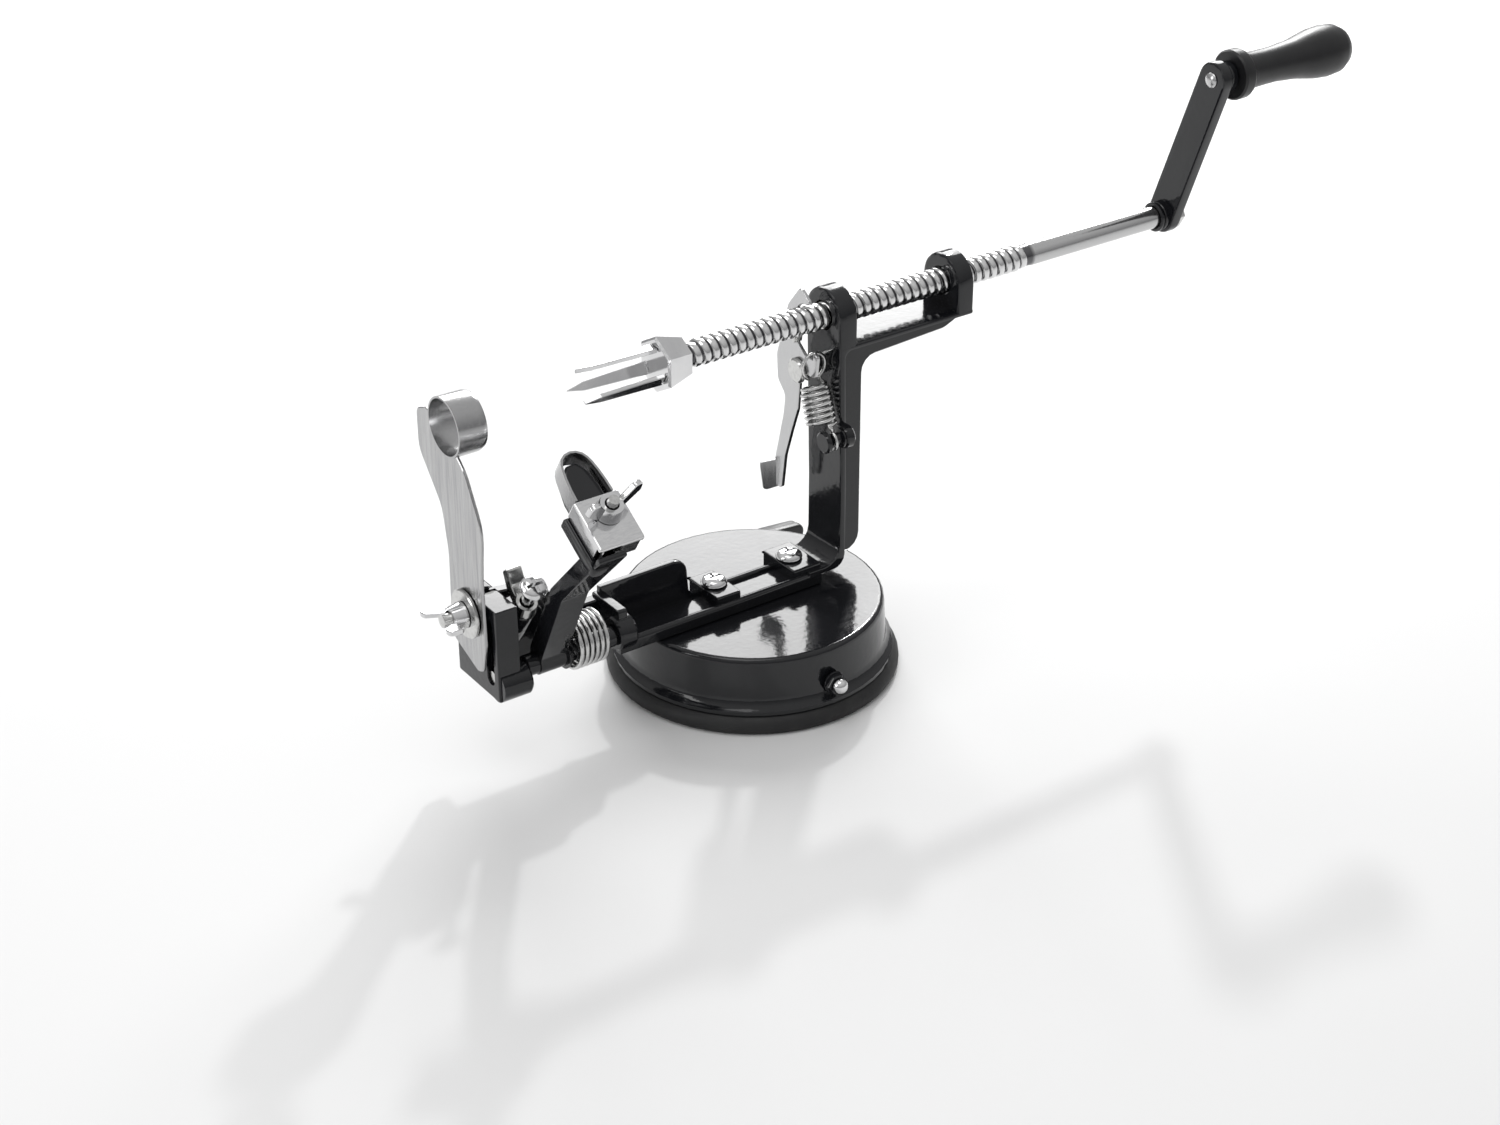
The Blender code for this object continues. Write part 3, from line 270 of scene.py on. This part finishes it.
ENAMEL, PLASTIC, RUBBER = make_enamel(), make_plastic(), make_rubber()
CHROME, ZINC, SPRING, THREAD = make_chrome(), make_zinc(), make_spring(), make_plated_thread()
LEVER_STEEL = make_brushed("linished_lever", (7.0, 7.0, 0.35), tint=0.86)
BLADE_STEEL = make_brushed("linished_blade", (7.0, 7.0, 0.3), tint=0.68)
SLICER_STEEL = make_brushed("linished_slicer", (3.0, 3.0, 0.12), tint=0.70,
                            wave=(9.0, 9.0, 0.5), wave_strength=0.6, spread=0.1)
BOX_CHROME = make_brushed("plated_sheet", (1.2, 5.0, 5.0), tint=1.08, dull=0.55)

# The CAD nodes of each material. The others are zinc plated.
DRESSED = (
    (ENAMEL, ("base_housing", "frame_casting", "peeler_arm", "crank_arm", "crank_washer",
              "spring_stud", "pin_nut")),
    (RUBBER, ("rubber_foot",)),
    (PLASTIC, ("suction_lever", "crank_grip")),
    (CHROME, ("cam_pin", "fork_hub", "fork_prong_1", "fork_prong_2", "fork_prong_3",
              "clamp_wing_nut", "base_screw_left", "base_screw_right", "stop_screw",
              "slicer_wing_nut")),
    (BOX_CHROME, ("clamp_box",)),
    (LEVER_STEEL, ("release_lever", "grip_rivet")),
    (SLICER_STEEL, ("slicer_blade",)),
    (BLADE_STEEL, ("coring_ring", "peeler_blade")),
)
NODE_SURFACE = {name: material for material, names in DRESSED for name in names}

WELD_DISTANCE = 0.000004
CAD_SPLIT_DEGREES = 36.0
FACE_WEIGHT = 60


def smooth_cad(obj):
    """Joins the faceted solid's seams and shades it smooth up to an angle."""
    mesh = obj.data
    if "custom_normal" in mesh.attributes:
        mesh.attributes.remove(mesh.attributes["custom_normal"])
    mesh.shade_smooth()
    weld = obj.modifiers.new("weld", "WELD")
    weld.merge_threshold = WELD_DISTANCE
    edge = obj.modifiers.new("split", "EDGE_SPLIT")
    edge.split_angle = math.radians(CAD_SPLIT_DEGREES)
    edge.use_edge_sharp = False
    even = obj.modifiers.new("even", "WEIGHTED_NORMAL")
    even.weight = FACE_WEIGHT
    even.keep_sharp = True


for node_name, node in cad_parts.items():
    node.data.materials.clear()
    node.data.materials.append(NODE_SURFACE.get(node_name, ZINC))
    smooth_cad(node)


# ---------------------------------------------------------------- shapes


def add(name, bm, material, body, stands_for, smooth):
    """Makes the piece, which rides on a body. Where body is a pair of bodies and ends, the piece
    stays fixed where it is and does not blend between them.
    """
    bmesh.ops.recalc_face_normals(bm, faces=bm.faces)
    mesh = bpy.data.meshes.new(name)
    bm.to_mesh(mesh)
    bm.free()
    mesh.shade_smooth()
    mesh.set_sharp_from_angle(angle=math.radians(smooth))
    mesh.materials.append(material)
    obj = bpy.data.objects.new(name, mesh)
    bpy.context.scene.collection.objects.link(obj)
    if isinstance(body, str):
        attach(obj, body)
    else:
        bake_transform(obj)
    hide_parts(*stands_for)


def on_circle(k, steps):
    """Cosine and sine of step k of a circle."""
    return math.cos(math.tau * k / steps), math.sin(math.tau * k / steps)


def arc(start, sweep, steps):
    """Cosines and sines along an arc, in degrees."""
    angles = [math.radians(start + sweep * k / steps) for k in range(steps + 1)]
    return [(math.cos(a), math.sin(a)) for a in angles]


def skin(bm, a, b):
    """Faces between two closed rings. A ring of one point closes to a fan."""
    steps = max(len(a), len(b))
    for k in range(steps):
        j = (k + 1) % steps
        corners = [a[k % len(a)], a[j % len(a)], b[j % len(b)], b[k % len(b)]]
        bm.faces.new([c for i, c in enumerate(corners) if c not in corners[:i]])


def lathe(bm, profile, steps):
    """Turned shape about the spindle's axis from (radius, x) pairs."""
    rings = []
    for radius, x in profile:
        count = steps if radius else 1
        circle = [on_circle(k, steps) for k in range(count)]
        rings.append([bm.verts.new((x, AXIS.y + radius * c, AXIS.z + radius * s))
                      for c, s in circle])
    for a, b in zip(rings, rings[1:]):
        skin(bm, a, b)


WIRE_SIDES = 10
# (share of the radius, distance along the wire in radii) of the rings of a domed end
DOME = ((0.45, 0.8), (0.85, 0.45), (1.0, 0.0))


def wire(name, points, radius, body, stands_for):
    """Round spring wire through points, with domed ends."""
    bm = bmesh.new()
    rings, normal, last = [], None, None
    for i, point in enumerate(points):
        ahead = (points[min(i + 1, len(points) - 1)] - points[max(i - 1, 0)]).normalized()
        if normal is None:
            normal = ahead.orthogonal().normalized()
        else:
            normal = last.rotation_difference(ahead) @ normal
            normal = (normal - ahead * normal.dot(ahead)).normalized()
        side = ahead.cross(normal)
        last = ahead
        grow = [(1.0, 0.0)]
        if i == 0:
            grow = [(size, -shift) for size, shift in DOME]
        if i == len(points) - 1:
            grow = DOME[::-1]
        for size, shift in grow:
            centre = point + ahead * radius * shift
            circle = [on_circle(k, WIRE_SIDES) for k in range(WIRE_SIDES)]
            rings.append([bm.verts.new(centre + (normal * c + side * s) * radius * size)
                          for c, s in circle])
    for a, b in zip(rings, rings[1:]):
        skin(bm, a, b)
    bm.faces.new(rings[0])
    bm.faces.new(rings[-1])
    add(name, bm, SPRING, body, stands_for, smooth=60.0)


def bridge(start, end, steps, sag):
    """Points strictly between start and end, bowed by sag."""
    return [start.lerp(end, k / steps) + sag * math.sin(math.pi * k / steps)
            for k in range(1, steps)]


# ---------------------------------------------------------------- lead screw

PITCH = 0.004
CORE_R, ROD_R = 0.0044, 0.00475
SLEEVE_R = CORE_R + 0.00005
NECK_R, CRANK_END_R, CHAMFER_R = 0.0032, 0.0034, 0.0029
THREAD_R = (ROD_HIGH.z - ROD_LOW.z) / 2
THREAD_START, THREAD_END = HUB_END + 0.0012, 0.1325
SHOULDER = CRANK_FACE + 0.0014
TURN_STEPS, SHAFT_STEPS = 40, 48
RUN_OUT = 1.4    # how fast the thread rises at its two ends, per turn
# (share of the pitch, share of the thread's height) across one ridge
THREAD_FORM = ((0.0, 0.0), (0.05, 0.38), (0.10, 0.72), (0.18, 0.93), (0.29, 1.0), (0.55, 1.0),
               (0.66, 0.93), (0.74, 0.72), (0.79, 0.38), (0.84, 0.0))


def lead_screw():
    """Helical thread, the plain end inside the fork's hub and the shaft to the crank."""
    bm = bmesh.new()
    rows = int((THREAD_END - THREAD_START) / PITCH * TURN_STEPS)
    lines = []
    for share, rise in THREAD_FORM:
        line = []
        for k in range(rows + 1):
            x = THREAD_START + PITCH * (k / TURN_STEPS + share)
            fade = min(1.0, k / TURN_STEPS * RUN_OUT, (rows - k) / TURN_STEPS * RUN_OUT)
            radius = CORE_R + (THREAD_R - CORE_R) * rise * fade
            c, s = on_circle(k, TURN_STEPS)
            line.append(bm.verts.new((x, AXIS.y + radius * c, AXIS.z + radius * s)))
        lines.append(line)
    for a, b in zip(lines, lines[1:]):
        for k in range(rows):
            bm.faces.new((a[k], a[k + 1], b[k + 1], b[k]))
    first, last = lines[0], lines[-1]
    for k in range(rows - TURN_STEPS):
        j = k + TURN_STEPS
        bm.faces.new((last[k], last[k + 1], first[j + 1], first[j]))
    low, high = ROD_LOW.x, ROD_HIGH.x
    lathe(bm, [(0.0, low), (CHAMFER_R, low), (NECK_R, low + 0.0003), (NECK_R, HUB_END - 0.0004),
               (CORE_R, HUB_END + 0.0002), (SLEEVE_R, THREAD_START + PITCH * 2)], TURN_STEPS)
    lathe(bm, [(SLEEVE_R, THREAD_END - PITCH * 1.2), (SLEEVE_R, THREAD_END + 0.0042),
               (ROD_R - 0.00015, THREAD_END + 0.0052), (ROD_R, THREAD_END + 0.0058),
               (ROD_R, SHOULDER), (CRANK_END_R, SHOULDER + 0.0003),
               (CRANK_END_R, high - 0.0006), (CHAMFER_R, high), (0.0, high)], SHAFT_STEPS)
    add("lead_screw", bm, THREAD, "spindle", ["spindle_rod"], smooth=50.0)


# ---------------------------------------------------------------- springs

PULL_WIRE_R, PULL_COIL_R, PULL_TURNS, PULL_STEPS = 0.00072, 0.0055, 7.25, 32
FIRST_COIL = 0.8    # the coil's size where it starts, grown to full over one turn
TOP_HOOK_ARC, STUD_HOOK_ARC = (-152, 304, 40), (95, 265, 30)    # start, sweep, steps
STUD_HOOK_R = 0.0037
PULL_X = 0.0269
# Centres of the round top hook, and of the coils' first and last turn.
TOP_HOOK = Vector((PULL_X, -0.0033, 0.1256))
COIL_START, COIL_END = Vector((PULL_X, -0.0038, 0.1178)), Vector((PULL_X, -0.0092, 0.1022))


def pull_spring():
    """Round top hook through the lever's horn, close coils, and a hook round the stud."""
    axle = (COIL_END - COIL_START).normalized()
    across = Vector((1, 0, 0))
    third = axle.cross(across)
    points = [TOP_HOOK + Vector((s, 0, c)) * PULL_COIL_R for c, s in arc(*TOP_HOOK_ARC)]
    lift = (COIL_END - COIL_START).length / PULL_TURNS
    coil = []
    for k in range(int(PULL_TURNS * PULL_STEPS) + 1):
        c, s = on_circle(k, PULL_STEPS)
        radius = PULL_COIL_R * min(1.0, FIRST_COIL + (1.0 - FIRST_COIL) * k / PULL_STEPS)
        coil.append(COIL_START + axle * (lift * k / PULL_STEPS) + (across * c + third * s) * radius)
    stud_centre = Vector((PULL_X + 0.001, STUD.y, STUD.z))
    hook = [stud_centre + Vector((0, c, s)) * STUD_HOOK_R for c, s in arc(*STUD_HOOK_ARC)]
    points += bridge(points[-1], coil[0], 5, Vector((0, 0, -0.0003))) + coil
    points += bridge(coil[-1], hook[0], 6, Vector((0, -0.0006, 0))) + hook
    bends = ("stand", "thread_release", tuple(COIL_END), tuple(COIL_START))
    wire("pull_spring_wire", points, PULL_WIRE_R, bends, ["extension_spring"])


ARM_WIRE_R, ARM_COIL_R, ARM_TURNS, ARM_STEPS, ARM_PITCH = 0.0009, 0.0098, 6.2, 40, 0.0023
ARM_COIL_X, ARM_COIL_Y, ARM_COIL_Z = -0.0948, -0.010, 0.0439
ARM_FIRST_ANGLE = math.radians(118)
# The leg up the peeling arm, down to the coil.
ARM_LEG = ((-0.0949, -0.0156, 0.0633), (-0.0949, -0.0142, 0.0608), (-0.0949, -0.0131, 0.0585),
           (-0.0949, -0.0131, 0.0563), (-0.09485, -0.0138, 0.0540))
TAIL_REACHES = (0.002, 0.004, 0.006, 0.0085)
TAIL_DRIFT = 0.0012 / 0.009    # along X for each metre of tail


def arm_spring():
    """Torsion spring on the pivot rod, one leg up the arm and one under the casting."""
    points = [Vector(p) for p in ARM_LEG]
    count = int(ARM_TURNS * ARM_STEPS)
    for k in range(count + 1):
        a = ARM_FIRST_ANGLE - math.tau * k / ARM_STEPS
        points.append(Vector((ARM_COIL_X + ARM_PITCH * k / ARM_STEPS,
                              ARM_COIL_Y + ARM_COIL_R * math.cos(a),
                              ARM_COIL_Z + ARM_COIL_R * math.sin(a))))
    here = points[-1]
    tail = ARM_FIRST_ANGLE - math.tau * count / ARM_STEPS
    away = Vector((TAIL_DRIFT, math.sin(tail), -math.cos(tail)))
    points += [here + away * reach for reach in TAIL_REACHES]
    bends = ("stand", "peeling_arm", (here.x - 0.0006, ARM_COIL_Y, ARM_COIL_Z),
             (-0.0938, ARM_COIL_Y, ARM_COIL_Z))
    wire("arm_spring_wire", points, ARM_WIRE_R, bends, ["torsion_spring"])


lead_screw()
pull_spring()
arm_spring()


# ---------------------------------------------------------------- floor, lights and camera

FLOOR_HALF, FLOOR_GAP = 6.0, 0.0002
# The world's colour at and below the horizon, and from WORLD_TOP up, where straight up is 1.
WORLD_LOW, WORLD_HIGH = (0.36, 0.36, 0.365, 1), (0.80, 0.80, 0.80, 1)
WORLD_TOP, WORLD_STRENGTH = 0.75, 0.8
LIGHT_AIM = Vector((0.0, 0.0, 0.06))
# (name, place, width, height, watts)
LIGHTS = (
    ("rear_box", (0.95, 1.35, 1.05), 1.5, 1.0, 33.0),
    ("key_light", (1.28, 1.26, 1.34), 0.09, 0.09, 15.0),
    ("top_box", (-0.3, -0.1, 1.6), 0.9, 0.9, 4.0),
    ("left_box", (-1.3, 0.1, 0.7), 0.5, 0.8, 4.0),
)
LENS_MM, SENSOR_MM, CLIP_START = 64.13, 36.0, 0.01
CAMERA_SPOT = (-0.53679, -0.76502, 0.57909)
CAMERA_YAW, CAMERA_DIP = math.radians(34.996), math.radians(29.785)


def place(name, data, spot, direction=None):
    """Links an object, with a light's or camera's axis turned along direction."""
    obj = bpy.data.objects.new(name, data)
    obj.location = spot
    if direction is not None:
        obj.rotation_euler = direction.to_track_quat("-Z", "Y").to_euler()
    bpy.context.scene.collection.objects.link(obj)
    return obj


def floor():
    bm = bmesh.new()
    corners = ((-1, -1), (1, -1), (1, 1), (-1, 1))
    bm.faces.new([bm.verts.new((x * FLOOR_HALF, y * FLOOR_HALF, 0.0)) for x, y in corners])
    mesh = bpy.data.meshes.new("floor")
    bm.to_mesh(mesh)
    bm.free()
    mesh.materials.append(make_floor())
    obj = place("floor", mesh, (0.0, 0.0, CAD_BOX[0][2] - FLOOR_GAP))


def studio():
    """A pale world, darker toward the horizon and below, and four area lights."""
    world = bpy.data.worlds.new("studio")
    bpy.context.scene.world = world
    world.use_nodes = True
    tree = world.node_tree
    back = tree.nodes["Background"]
    coords = tree.nodes.new("ShaderNodeTexCoord")
    parts = tree.nodes.new("ShaderNodeSeparateXYZ")
    ramp = tree.nodes.new("ShaderNodeValToRGB")
    for element, stop, colour in zip(ramp.color_ramp.elements, (0.0, WORLD_TOP),
                                     (WORLD_LOW, WORLD_HIGH)):
        element.position = stop
        element.color = colour
    tree.links.new(coords.outputs["Generated"], parts.inputs["Vector"])
    tree.links.new(parts.outputs["Z"], ramp.inputs["Fac"])
    tree.links.new(ramp.outputs["Color"], back.inputs["Color"])
    back.inputs["Strength"].default_value = WORLD_STRENGTH
    for name, spot, width, height, watts in LIGHTS:
        light = bpy.data.lights.new(name, "AREA")
        light.shape = "RECTANGLE"
        light.size, light.size_y = width, height
        light.energy = watts
        place(name, light, spot, LIGHT_AIM - Vector(spot))


def camera():
    """The photograph's viewing angle."""
    data = bpy.data.cameras.new("camera")
    data.lens = LENS_MM
    data.sensor_width = SENSOR_MM
    data.clip_start = CLIP_START
    level = math.cos(CAMERA_DIP)
    look = Vector((math.sin(CAMERA_YAW) * level, math.cos(CAMERA_YAW) * level,
                   -math.sin(CAMERA_DIP)))
    bpy.context.scene.camera = place("camera", data, CAMERA_SPOT, look)


floor()
studio()
camera()
bpy.context.scene.view_settings.view_transform = "Standard"
